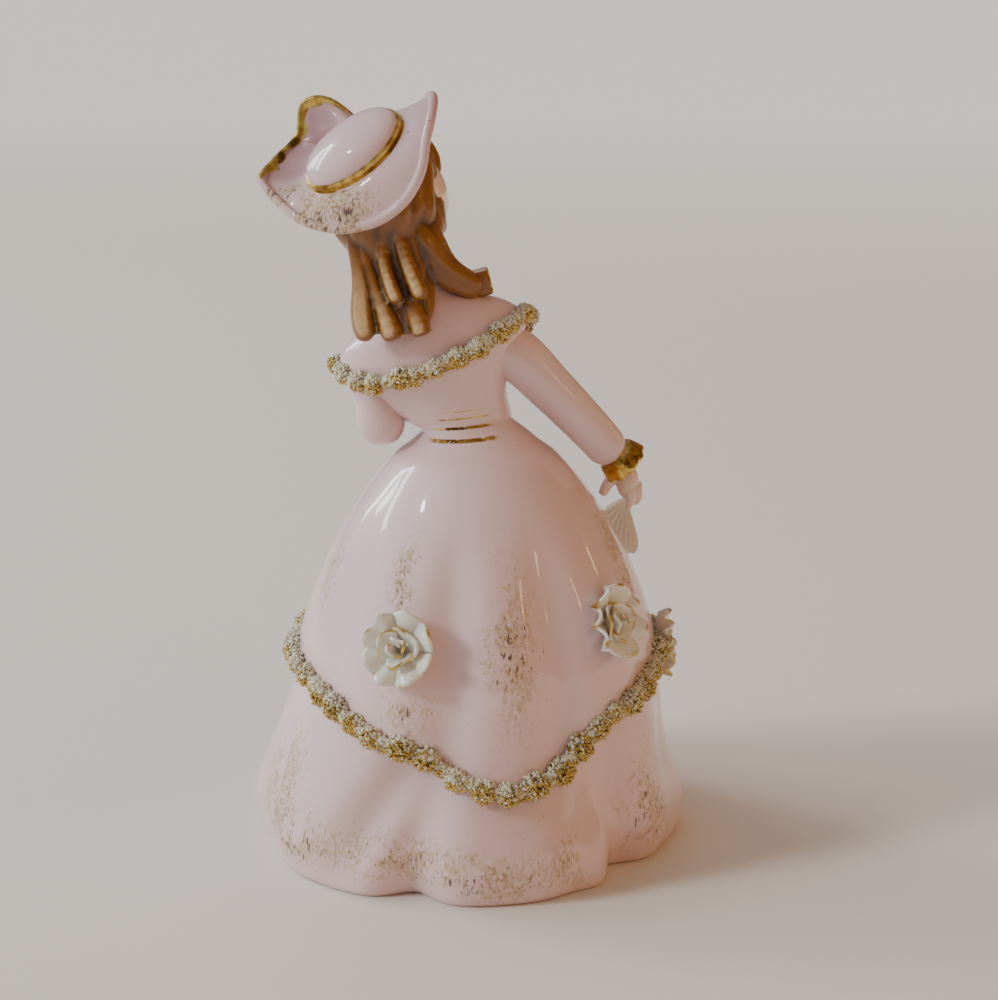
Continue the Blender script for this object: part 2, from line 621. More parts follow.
def sponged_gold():
    """Gold sponged over the glaze: masks for its specks, dark strokes and haze from how thick it lies."""
    made = Finish("sponged gold", bpy.data.node_groups.new("sponged gold", "ShaderNodeTree"))
    face = made.tree.interface
    face.new_socket("Amount", in_out="INPUT", socket_type="NodeSocketFloat")
    for mask in ("Gold", "Dark", "Haze"):
        face.new_socket(mask, in_out="OUTPUT", socket_type="NodeSocketFloat")
    amount = made.tree.nodes.new("NodeGroupInput").outputs["Amount"]
    out = made.tree.nodes.new("NodeGroupOutput")
    place = made.place()

    def drawn_out(rotation, length):
        """The place turned and squeezed, so that a noise on it has long grains."""
        return made.node("Mapping", (), Vector=place, Rotation=rotation, Scale=(1.0, 1.0, length)).outputs[0]

    patch = made.math("MULTIPLY", amount, made.ramp(made.noise(120, 2, 0.5, place), 0.28, 0.54))
    turned = drawn_out((0.5, 0.7, 0.2), 0.55)
    specks = made.noise(1400, 3, 0.65, turned)
    cut = made.math("MULTIPLY_ADD", patch, -0.22, 0.69)
    gold = made.math("MULTIPLY", made.math("SUBTRACT", specks, cut), 9.0, clamp=True)
    leant = drawn_out((0.8, -0.7, 0.1), 0.24)
    strokes = made.noise(1200, 2, 0.5, leant)
    cluster = made.math("MULTIPLY", amount, made.ramp(made.noise(95, 1, 0.5, leant), 0.42, 0.58))
    dark_cut = made.math("MULTIPLY_ADD", cluster, -0.21, 0.77)
    dark = made.math("MULTIPLY", made.math("SUBTRACT", strokes, dark_cut), 16.0, clamp=True)
    made.tree.links.new(gold, out.inputs["Gold"])
    made.tree.links.new(dark, out.inputs["Dark"])
    soft = made.ramp(made.math("SUBTRACT", made.noise(900, 3, 0.6, turned), cut), -0.14, 0.04)
    made.tree.links.new(made.math("MULTIPLY", soft, made.ramp(patch, 0.05, 0.5)), out.inputs["Haze"])
    return made.tree


def waist_lines(made):
    """Brushed gold lines at the back of the waist, on Object coordinates."""
    across, deep, up = made.node("SeparateXYZ", (), Vector=made.place()).outputs
    level = made.math("MULTIPLY_ADD", across, WAIST_LINE_SLOPE, up)
    brushed = made.noise(900, 2, 0.5)
    lines = 0.0
    for height, low, high, width in WAIST_LINES:
        middle = (height + WAIST_LINE_SLOPE * WAIST_LINE_MIDDLE) * MM
        away = made.math("ABSOLUTE", made.math("SUBTRACT", level, middle))
        half = width / 2 * MM
        line = made.math("SUBTRACT", 1.0, made.ramp(away, half * 0.7, half * 1.15))
        line = made.math("MULTIPLY", line, made.ramp(across, (low - 1) * MM, (low + 2) * MM))
        past = made.ramp(across, (high - 1) * MM, (high + 1) * MM)
        line = made.math("MULTIPLY", line, made.math("SUBTRACT", 1.0, past))
        lines = made.math("MAXIMUM", line, lines)
    lines = made.math("MULTIPLY", lines, made.ramp(deep, 0, 0.004))
    return made.math("MULTIPLY", lines, made.ramp(brushed, 0.3, 0.42))


def pink_glaze(sponged):
    """The gown's glaze, with gold painted and sponged on it."""
    made = Finish("pink glaze")
    glaze(made)
    cloud = made.ramp(made.noise(22, 2, 0.5), 0.3, 0.75)
    body = made.mix(made.math("MULTIPLY", cloud, 0.4), PINK, PINK_DEEP)
    body = made.mix(made.attribute("blush"), body, MAUVE)
    sponge = made.node("Group", {"node_tree": sponged}, Amount=made.attribute("sponge"))
    body = made.mix(made.math("MULTIPLY", sponge.outputs["Haze"], 0.7), body, GOLD_HAZE)
    worn = made.ramp(made.noise(800, 3, 0.6), 0.2, 0.34)
    painted = made.math("MULTIPLY", made.ramp(made.attribute("gold"), 0.4, 0.6), worn)
    gold = made.math("MAXIMUM", painted, waist_lines(made), clamp=True)
    specks = sponge.outputs["Gold"]
    tone = made.mix(made.ramp(made.noise(420), 0.35, 0.7), GOLD, GOLD_DEEP)
    tone = made.mix(made.ramp(made.noise(130, 2, 0.5), 0.55, 0.66), tone, GOLD_WORN)
    base = made.mix(gold, made.mix(made.math("MULTIPLY", specks, 0.85), body, GOLD_SPECK), tone)
    base = made.mix(made.math("MULTIPLY", sponge.outputs["Dark"], 0.85), base, GOLD_DARK)
    shine = made.math("MAXIMUM", gold, made.math("MULTIPLY", specks, 0.55))
    made.set(Base_Color=base, Metallic=made.math("MULTIPLY", shine, 0.9))
    made.set(Coat_Weight=made.math("SUBTRACT", 1.0, gold, clamp=True))
    bump = made.node("Bump", (), Height=made.noise(60, 2, 0.5), Strength=0.05, Distance=0.002)
    made.set(Normal=bump.outputs[0])
    return made.material


def hair_glaze():
    """Brown glaze that pools dark in the grooves and breaks pale on the crests of the locks."""
    made = Finish("brown hair glaze")
    glaze(made)
    blotch = made.math("MULTIPLY_ADD", made.noise(220, 3, 0.6), 0.36, -0.18)
    crest = made.math("ADD", made.attribute("crest"), blotch)
    shade = made.mix(made.ramp(crest, 0.24, 0.66), HAIR_DARK, HAIR_BROWN)
    broken = made.ramp(made.noise(500, 2, 0.6), 0.3, 0.5)
    pale = made.math("MULTIPLY", made.attribute("pale"), made.math("MULTIPLY_ADD", broken, 0.4, 0.6))
    shade = made.mix(made.math("MULTIPLY", pale, 0.9), shade, HAIR_TAN)
    made.set(Base_Color=shade)
    fine = made.math("ADD", made.attribute("ridge"), made.noise(420, 2, 0.5))
    bump = made.node("Bump", (), Height=fine, Strength=0.22, Distance=0.0003)
    made.set(Normal=bump.outputs[0], Roughness=0.36, Coat_Weight=0.5, Coat_Roughness=0.1)
    return made.material


def gold_finish():
    """Bright gold over brown: rubbed thin in places."""
    made = Finish("bright gold")
    wear = made.ramp(made.noise(260, 3, 0.6), 0.36, 0.66)
    tone = made.mix(wear, GOLD, GOLD_DEEP)
    tone = made.mix(made.ramp(made.noise(240, 3, 0.6), 0.5, 0.68), tone, GOLD_BROWN)
    made.set(Base_Color=tone, Metallic=1.0, Roughness=0.2)
    bump = made.node("Bump", (), Height=made.noise(500, 2, 0.6), Strength=0.3, Distance=0.0006)
    made.set(Normal=bump.outputs[0])
    return made.material


def cream_glaze():
    """Cream porcelain with gold where the gold attribute is."""
    made = Finish("cream glaze")
    glaze(made)
    cloud = made.ramp(made.noise(300, 3, 0.6), 0.3, 0.8)
    body = made.mix(made.math("MULTIPLY", cloud, 0.4), CREAM, CREAM_SHADE)
    thin = made.ramp(made.noise(1100, 2, 0.6), 0.25, 0.45)
    worn = made.math("MULTIPLY", made.attribute("gold"), thin, clamp=True)
    made.set(Base_Color=made.mix(worn, body, GOLD), Metallic=worn)
    made.set(Coat_Weight=made.math("SUBTRACT", 1.0, worn, clamp=True))
    return made.material


def fan_glaze():
    """Thin cream porcelain that lets some light through."""
    made = Finish("thin cream glaze")
    glaze(made)
    cloud = made.ramp(made.noise(200, 2, 0.5), 0.3, 0.8)
    made.set(Base_Color=made.mix(made.math("MULTIPLY", cloud, 0.4), FAN_CREAM, FAN_SHADE))
    made.set(Subsurface_Weight=0.5, Subsurface_Scale=0.003, Coat_Weight=0.6)
    made.surface.inputs["Subsurface Radius"].default_value = (1, 0.9, 0.7)
    return made.material


def crumb_finish():
    """Crumbled porcelain, matter than the cast, with gold brushed over part of it."""
    made = Finish("crumbled porcelain")
    made.set(Coat_Roughness=0.15)
    made.surface.inputs["Coat Weight"].default_value = 0.25
    cloud = made.ramp(made.noise(500, 2, 0.6), 0.35, 0.75)
    body = made.mix(made.math("MULTIPLY", cloud, 0.4), CRUMB_WHITE, CRUMB_SHADE)
    body = made.mix(made.math("MULTIPLY", made.attribute("tone"), 0.6), body, CRUMB_SHADE)
    gold = made.ramp(made.attribute("gold"), 0.4, 0.6)
    tone = made.mix(made.ramp(made.noise(600, 2, 0.5), 0.4, 0.8), CRUMB_GOLD, CRUMB_GOLD_DEEP)
    made.set(Base_Color=made.mix(gold, body, tone), Metallic=made.math("MULTIPLY", gold, 0.85))
    made.set(Roughness=made.math("MULTIPLY_ADD", gold, -0.2, 0.45))
    return made.material


def skin_glaze():
    """Fair porcelain skin, with the face painted where the face's own coordinates say."""
    made = Finish("face and hands")
    glaze(made)
    across = made.math("ABSOLUTE", made.attribute("face_x"))
    up = made.attribute("face_z")
    front = made.ramp(made.attribute("face_front"), 0.3, 0.5)

    def oval(x, z, width, height, soft=0.25):
        """1 inside an oval on both sides of the face, 0 outside."""
        right = made.math("DIVIDE", made.math("SUBTRACT", across, x), width)
        high = made.math("DIVIDE", made.math("SUBTRACT", up, z), height)
        far = made.math("ADD", made.math("MULTIPLY", right, right), made.math("MULTIPLY", high, high))
        return made.math("MULTIPLY", made.math("SUBTRACT", 1.0, made.ramp(far, 1 - soft, 1 + soft)), front)

    def both(a, b):
        return made.math("MULTIPLY", a, b)

    def without(a, b):
        return both(a, made.math("SUBTRACT", 1.0, b))

    shade = made.mix(both(oval(4.6, -4.2, 2.6, 2.2, 0.9), 0.55), SKIN, BLUSH)
    eye = oval(3.5, -0.05, 1.65, 0.78)
    shade = made.mix(eye, shade, EYE_WHITE)
    shade = made.mix(both(oval(3.45, 0.05, 0.72, 0.78), eye), shade, IRIS)
    shade = made.mix(both(oval(3.45, 0.05, 0.34, 0.36), eye), shade, LASH)
    shade = made.mix(without(oval(3.5, 0.1, 1.95, 1), oval(3.45, -0.25, 1.95, 1.02)), shade, LASH)
    brow = without(oval(3.5, 2.2, 2.3, 1.1), oval(3.4, 1.85, 2.5, 1.1))
    shade = made.mix(both(brow, 0.8), shade, HAIR_BROWN)
    lips = made.math("MAXIMUM", oval(0.75, -7.05, 1.3, 0.5), oval(0, -8.05, 1.75, 0.62))
    shade = made.mix(both(lips, 0.85), shade, LIPS)
    shade = made.mix(both(oval(0, -7.5, 2.3, 0.12, 0.5), 0.7), shade, LIP_LINE)
    made.set(Base_Color=shade)
    return made.material


# The cast figure


def gown_and_bodice(finish):
    """The gown, bodice and neck in one skin, with how thick the sponged gold lies on it."""
    # Heights of the rings: close together at the hem, then even up the skirt, the bodice and the neck
    low = [0, 0.5, 1.4, 2.6, 4, 5.6]
    skirt = low + [7 + 1.25 * i for i in range(75)]
    bodice = [skirt[-1] + 1 + 0.95 * i for i in range(42)]
    neck = [bodice[-1] + 1.3 * i for i in range(1, 14)]
    heights = skirt + bodice + neck
    rings = len(heights) + 2

    def place(turn, ring):
        angle = math.degrees(turn)
        if ring == 0:
            return Vector((smooth(SKIRT_LEAN, 0), 0, 0))
        if ring == 1:
            return skirt_point(angle, 0, -1.5)
        height = heights[min(ring - 2, len(heights) - 1)]
        share = step(height, *WAIST_BLEND)
        here = skirt_point(angle, height) if share < 1 else Vector()
        if share > 0:
            here = here.lerp(bodice_point(angle, min(height, NECK_TOP)), share)
        return here

    gown = piece_of(shell(200, rings, place), "gown", finish)

    def thickness(place, normal):
        angle = math.degrees(math.atan2(place.y, place.x - smooth(SKIRT_LEAN, place.z)))
        patches = [
            amount * dent(apart(angle, middle), wide) * dent(place.z - height, tall)
            for middle, height, wide, tall, amount in GILDING
        ]
        return min(sum(patches), 1)

    set_values(gown, "sponge", thickness)
    return gown


def arms(finish):
    """The right arm, held out and down, and the left arm, bent at a round elbow."""
    right = piece_of(limb(RIGHT_ARM, 40, 60), "right_arm", finish)
    bent = [limb(LEFT_ARM, 36, 70), egg(LEFT_ELBOW, [ELBOW_RADIUS] * 3, 32, 24)]
    left = fused("left_arm", bent, voxel=0.7, rounds=12, finish=finish)
    return [right, left]


def cuff(wrist, arm, finish):
    """A frilled gold band round the wrist, opening towards the hand."""
    before = Vector(arm[-2][:3])
    along = (Vector(wrist) - before).normalized()
    side = Vector((0, 1, 0)).cross(along).normalized()
    out = along.cross(side)

    def place(turn_along, turn):
        share = 0.5 * math.sin(turn)
        frill = 0.05 * step(share, 0.2, 0.5) * math.cos(CUFF_FRILLS * turn_along)
        flare = 0.92 + 0.2 * step(share, -0.2, 0.5)
        reach = CUFF_RADIUS * (flare + frill) - CUFF_WALL + CUFF_WALL * math.cos(turn)
        reach -= 0.35 * CUFF_RADIUS * step(-share, 0.2, 0.5)
        here = Vector(wrist) + along * share * CUFF_HEIGHT
        here += side * reach * math.cos(turn_along) + out * reach * math.sin(turn_along)
        return bust(*here)

    return piece_of(hoop(20, 108, place), "cuff", finish)


def hands(finish):
    """Each hand: a palm and four fingers in one skin."""
    made = []
    for name, (centre, size), fingers in (
        ("right_hand", RIGHT_PALM, RIGHT_FINGERS),
        ("left_hand", LEFT_PALM, LEFT_FINGERS),
    ):
        shells = [egg(centre, size, 24, 18)] + [limb(points, 14, 16) for points in fingers]
        made.append(fused(name, shells, voxel=0.35, rounds=4, finish=finish))
    return made


def head_point(x, y, z):
    """A point of the head, which is turned and tilted on the neck."""
    local = Vector((x, y, z))
    local.rotate(Matrix.Rotation(math.radians(HEAD_TURN), 3, "Z"))
    local.rotate(Matrix.Rotation(math.radians(HEAD_TILT), 3, "Y"))
    return bust(*(local + Vector(HEAD)))


def head(finish):
    """The head with the soft forms of its face, and where each point lies on the face."""
    rings = 120

    def place(turn, ring):
        rise = -math.cos(math.pi * ring / rings)
        level = math.sqrt(max(1 - rise * rise, 0))
        away = math.radians(apart(math.degrees(turn), -90))
        away *= FACE_GATHER + (1 - FACE_GATHER) * (away / math.pi) ** 2
        low = max(-rise, 0)
        width = 1 - 0.34 * low**1.5
        x = level * math.sin(away) * HEAD_SIZE[0] * width
        y = -level * math.cos(away) * HEAD_SIZE[1] * (1 - (0.24 if math.cos(away) < 0 else 0.1) * low)
        z = rise * HEAD_SIZE[2]
        front = step(-y, 1, 6)
        for across, up, wide, tall, forward in FACE_FORMS:
            y -= front * forward * dent(abs(x) - across, wide) * dent(z - up, tall)
        return head_point(x, y, z)

    face = piece_of(shell(110, rings, place), "head", finish)
    untilt = Matrix.Rotation(math.radians(-HEAD_TILT), 3, "Y")
    back = Matrix.Rotation(math.radians(-HEAD_TURN), 3, "Z") @ untilt

    def local(place):
        return back @ (bust_back(place) - Vector(HEAD))

    set_values(face, "face_x", lambda place, normal: local(place).x)
    set_values(face, "face_z", lambda place, normal: local(place).z)
    set_values(face, "face_front", lambda place, normal: step(-local(place).y, 1, 6))
    return face


def hair(finish):
    """Hair mass, locks and waves in one skin, with pale crests and ridges on the locks."""
    rings = 60

    def mass(turn, ring):
        x, y, z, width, depth = through(HAIR_MASS, 1 - min(max((ring - 1) / (rings - 2), 0), 1))
        if ring in (0, rings):
            return bust(x, y, z)
        strand = 1 + 0.045 * math.sin(7 * turn + 1.6 * math.sin(0.2 * z))
        strand += 0.016 * math.sin(19 * turn - 0.3 * z)
        return bust(x + width * strand * math.cos(turn), y + depth * strand * math.sin(turn), z)

    def strands(t, turn):
        return 1 + 0.05 * math.sin(5 * turn + 4 * t) + 0.022 * math.sin(13 * turn + 7 * t)

    shells = [shell(96, rings, mass)]
    for ridges, points in LOCKS:
        wind = (lambda t, turn, n=ridges: 1 + 0.035 * math.sin(n * TAU * t + turn)) if ridges else strands
        shells.append(limb(points, 32, 80, wind))
    for points in WAVES:
        shells.append(limb(points, 64, 50, strands))
    made = fused("hair", shells, voxel=0.49, rounds=2, finish=finish)
    crests(made)
    spots = [(through(points, k / 60), ridges, k / 60) for ridges, points in LOCKS for k in range(8, 61)]
    tree = KDTree(len(spots))
    for k, (row, _, _) in enumerate(spots):
        tree.insert(bust(*row[:3]), k)
    tree.balance()

    def on_lock(place):
        """Share of a lock that a point belongs to, its way along it and how many ridges wind down it."""
        _, k, distance = tree.find(place)
        row, ridges, t = spots[k]
        return 1 - step(distance / row[3], 1.1, 1.4), ridges, t

    def pale(place, normal):
        share, ridges, t = on_lock(place)
        ripple = 0.82 + 0.18 * math.sin(ridges * TAU * t)
        return share * step(t, 0.3, 0.85) * step(normal.dot(PALE_WAY), 0.7, 0.99) * ripple

    def ridge(place, normal):
        share, ridges, t = on_lock(place)
        return share * math.sin(ridges * TAU * t + 1) if ridges else 0

    set_values(made, "pale", pale)
    set_values(made, "ridge", ridge)
    return made


def crests(piece):
    """How far each point stands out of the form around it: 0 in a groove, 1 on a crest."""
    soft = bmesh.new()
    soft.from_mesh(piece.data)
    ways = {"use_axis_x": True, "use_axis_y": True, "use_axis_z": True}
    for _ in range(30):
        bmesh.ops.smooth_vert(soft, verts=soft.verts, factor=0.5, **ways)
    smoothed = [v.co.copy() for v in soft.verts]
    soft.free()
    layer = piece.data.attributes.new("crest", "FLOAT", "POINT")
    for v, flat, item in zip(piece.data.vertices, smoothed, layer.data):
        item.value = 0.5 + (v.co - flat).dot(v.normal) / (GROOVE_DEPTH * MM)


HAT_UP = Vector(HAT_AXIS).normalized()
HAT_LONG = (Vector(HAT_LONG_WAY) - HAT_UP * Vector(HAT_LONG_WAY).dot(HAT_UP)).normalized()
HAT_ACROSS = HAT_UP.cross(HAT_LONG)


def hat_point(turn, reach, rise, shift=0):
    """A point at an angle round the hat's axis, a distance from it and a height above the band's foot."""
    here = Vector(HAT) + HAT_LONG * reach * math.cos(turn) + HAT_UP * rise
    return bust(*(here + HAT_ACROSS * (reach * math.sin(turn) + shift)))


def crown_reach(turn):
    """Half-width of the oval crown in a direction."""
    return 1 / math.hypot(math.cos(turn) / CROWN_LENGTH, math.sin(turn) / CROWN_WIDTH)


def hat(finish):
    """The hat in rows of rings: hollow, underside, rolled rim, top of the brim, band and crown."""
    under = [("under", s / 8) for s in range(1, 9)]
    lower = [("lower", s / 14) for s in range(0, 14)]
    rim = [("rim", -90 + 20 * k) for k in range(12)]
    upper = [("upper", 1 - s / 20) for s in range(1, 21)]
    band = [("band", k / 6) for k in range(7)]
    crown = [("crown", 90 * k / 20) for k in range(20)]
    rows = [("pole", 0)] + under + lower + rim + upper + band + crown + [("top", 90)]

    def place(turn, ring):
        kind, value = rows[ring]
        angle = math.degrees(turn)
        crown = crown_reach(turn)
        edge = around(BRIM_RADIUS, angle)
        lift = around(BRIM_RISE, angle)
        if kind == "pole":
            return hat_point(turn, 0, -BRIM_HOLLOW, CROWN_SHIFT)
        if kind == "under":
            return hat_point(turn, (crown - 1) * value, -BRIM_HOLLOW, CROWN_SHIFT)
        if kind in ("lower", "upper"):
            rise = lift * value**1.6
            cup = BRIM_CUP * max(dent(apart(angle, middle), width) for middle, width in BRIM_LOBES)
            dip = BEAD_DIP * dent(1 - value, 0.3) + cup * math.sin(math.pi * value)
            rise -= BRIM_THICKNESS if kind == "lower" else dip * step(value, 0, 0.3)
            reach = crown + (edge - 1.4 * BEAD - crown) * value
            return hat_point(turn, reach, rise, CROWN_SHIFT * (1 - value))
        if kind == "rim":
            roll = math.radians(value)
            rise = lift - BRIM_THICKNESS / 2 + BEAD * math.sin(roll)
            return hat_point(turn, edge - BEAD + BEAD * math.cos(roll), rise)
        if kind == "band":
            bulge = BAND_STEP * (0.4 + 0.6 * math.sin(math.pi * value))
            return hat_point(turn, crown + bulge, 0.1 + BAND_HEIGHT * value, CROWN_SHIFT)
        roll = math.radians(value)
        rise = BAND_HEIGHT + CROWN_HEIGHT * math.sin(roll)
        return hat_point(turn, crown * math.cos(roll), rise, CROWN_SHIFT)

    hat = piece_of(shell(168, len(rows) - 1, place), "hat", finish)

    def where(place, shift=0):
        """Angle round the hat's axis, distance from it and height above the band's foot."""
        away = bust_back(place) - Vector(HAT) - HAT_ACROSS * shift
        flat = away - HAT_UP * away.dot(HAT_UP)
        return math.atan2(flat.dot(HAT_ACROSS), flat.dot(HAT_LONG)), flat.length, away.dot(HAT_UP)

    def round_brim(place):
        """Angle round the brim in degrees, and distance from the axis."""
        turn, reach, _ = where(place)
        return math.degrees(turn) % 360, reach

    def gold(place, normal):
        turn, reach, rise = where(place, CROWN_SHIFT)
        band = -0.3 < rise < BAND_HEIGHT + 0.15 and abs(reach - crown_reach(turn)) < 0.9
        angle, reach = round_brim(place)
        wide = step(angle, 68, 84) - step(angle, 156, 172)
        rolled = around(BRIM_RADIUS, angle) - BRIM_GOLD * wide - 1.6 * noise.noise(place * 0.3) < reach
        return 1.0 if band or (rolled and wide > 0.45) else 0.0

    def off_crown(place):
        turn, reach, _ = where(place, CROWN_SHIFT)
        return step(reach - crown_reach(turn), 0.7, 1.6)

    def sponge(place, normal):
        angle, _ = round_brim(place)
        near = step(angle, 164, 178) - 0.7 * step(angle, 236, 276) - 0.3 * step(angle, 330, 352)
        return near * off_crown(place)

    def blush(place, normal):
        angle, _ = round_brim(place)
        recess = 0.5 * (step(angle, 80, 96) - step(angle, 156, 176)) + 0.3 * dent(angle - 122, 16)
        recess += 0.25 * dent(apart(angle, 348), 26)
        return 0.2 + recess * off_crown(place) * step(normal.z, -0.1, 0.4)

    set_values(hat, "gold", gold)
    set_values(hat, "sponge", sponge)
    set_values(hat, "blush", blush)
    return hat


def ribbon(*finishes):
    """The square end of the ribbon: hair brown, pale along its top and gold on its outer side."""
    made = bmesh.new()
    bmesh.ops.create_cube(made, size=1)
    bmesh.ops.scale(made, vec=RIBBON_SIZE, verts=made.verts)
    edges = made.edges[:]
    bmesh.ops.bevel(made, geom=edges, offset=0.8, segments=3, affect="EDGES", profile=0.5, material=-1)
    made.normal_update()
    for face in made.faces:
        face.material_index = 2 if face.normal.x < -0.35 else 1 if face.normal.z > 0.45 else 0
    lean = Matrix.Rotation(math.radians(RIBBON_LEAN), 4, "Y")
    turn = Matrix.Rotation(math.radians(BUST_TURN), 4, "Z")
    bmesh.ops.transform(made, matrix=turn @ Matrix.Translation(RIBBON) @ lean, verts=made.verts)
    end = piece_of(made, "ribbon", *finishes)
    set_values(end, "crest", lambda place, normal: 0.75)
    return end


# Trim, roses and fan


def copies(made, count):
    """Repeat the form in made count times; each vertex holds the number of its copy."""
    number = made.verts.layers.int.new("copy")
    held = 1
    while held < count:
        for v in bmesh.ops.duplicate(made, geom=made.verts[:] + made.edges[:] + made.faces[:])["geom"]:
            if isinstance(v, bmesh.types.BMVert):
                v[number] += held
        held *= 2
    bmesh.ops.delete(made, geom=[v for v in made.verts if v[number] >= count], context="VERTS")


def evenly(spine):
    """The same spine with its points evenly spaced."""
    steps = 400
    marks = [spine(k / steps)[0] for k in range(steps + 1)]
    lengths = [0]
    for here, ahead in zip(marks, marks[1:]):
        lengths.append(lengths[-1] + (ahead - here).length)

    def even(t):
        reach = t % 1 * lengths[-1]
        k = min(bisect.bisect_right(lengths, reach), steps) - 1
        return spine((k + (reach - lengths[k]) / (lengths[k + 1] - lengths[k])) / steps)

    return even


def crumbs(spine, clumps, radius, grains, filling, stray, gilt, seed, finish):
    """Clumps of crumbled porcelain along a spine, and loose crumbs between them.

    spine(t) gives its point, its outward and its upward way.
    """
    chance = random.Random(seed)
    made = bmesh.new()
    bmesh.ops.create_uvsphere(made, u_segments=4, v_segments=2, radius=1)
    copies(made, clumps * grains + filling)
    gold = made.verts.layers.float.new("gold")
    tone = made.verts.layers.float.new("tone")
    number = made.verts.layers.int["copy"]
    hearts = []
    for k in range(clumps):
        here, out, up = spine((k + chance.uniform(-0.22, 0.22)) / clumps)
        size = radius * chance.uniform(0.85, 1.1)
        share = gilt + chance.uniform(-0.35, 0.3)
        hearts += [(here + up * stray * chance.uniform(-1, 1), out, up, size, share)] * grains
    for _ in range(filling):
        here, out, up = spine(chance.random())
        hearts.append((here, out, up, radius * 0.72, gilt - 0.15))
    # Each grain leans outwards more or less, and the lower and outer grains take more of the gold
    places = []
    for heart, out, up, size, share in hearts:
        way = out * chance.gauss(0.35, 0.8) + up * chance.gauss(0, 0.8)
        way = (way + out.cross(up) * chance.gauss(0, 0.95)).normalized()
        middle = heart + way * size * chance.uniform(0.72, 1)
        lean = Vector([chance.gauss(0, 0.8) for _ in range(3)]) + way
        thick = chance.uniform(*GRAIN_THICKNESS)
        width = thick * chance.uniform(*GRAIN_WIDTH)
        form = Matrix.Diagonal((thick, width, thick * chance.uniform(*GRAIN_LENGTH), 1))
        turn = lean.to_track_quat("Z", "Y").to_matrix().to_4x4()
        painted = share - 0.45 * way.dot(up) + 0.3 * way.dot(out) + 0.35 * noise.noise(middle * 0.7)
        gilded = 1.0 if chance.random() < min(2.2 * (painted - 0.34), 0.75) else 0.0
        places.append((Matrix.Translation(middle) @ turn @ form, gilded, chance.random()))
    for v in made.verts:
        matrix, v[gold], v[tone] = places[v[number]]
        v.co = matrix @ v.co
    return piece_of(made, "loose", finish)


def rope(spine, radius, steps, finish):
    """The plain roll of slip that the crumbs sit on."""

    def place(along, turn):
        here, out, up = spine(along / TAU % 1)
        return here + (out * math.cos(turn) + up * math.sin(turn)) * radius

    return piece_of(hoop(12, steps, place), "core", finish)


def crumbled_trim(name, spine, finish, core, steps, **clumps):
    """A core and its crumbs along a spine."""
    spine = evenly(spine)
    return joined(name, [rope(spine, core, steps, finish), crumbs(spine, finish=finish, **clumps)])


def skirt_trim(finish):
    """The swag round the gown."""

    def spine(t):
        angle = 360 * t
        z = around(SWAG, angle)
        here = skirt_point(angle, z, SWAG_LIFT)
        out = (here - skirt_point(angle, z)).normalized()
        ahead = skirt_point(angle + 1, around(SWAG, angle + 1), SWAG_LIFT)
        return here, out, out.cross(ahead - here).normalized()

    return crumbled_trim("skirt_trim_crumbs", spine, finish, **SWAG_ROLL)


def neck_trim(finish):
    """The trim round the shoulders and the bosom."""
    count = len(NECKLINE)

    def spine(t):
        t = t % 1 * count
        near = [Vector(NECKLINE[(int(t) + k) % count]) for k in (-1, 0, 1, 2)]
        here = between(*near, t - int(t))
        out = here - Vector(NECKLINE_MIDDLE)
        out.z = 0
        out.normalize()
        here -= out * NECKLINE_SINK
        return bust(*here), bust(*out), Vector((0, 0, 1))

    return crumbled_trim("neckline_trim_crumbs", spine, finish, **NECKLINE_ROLL)


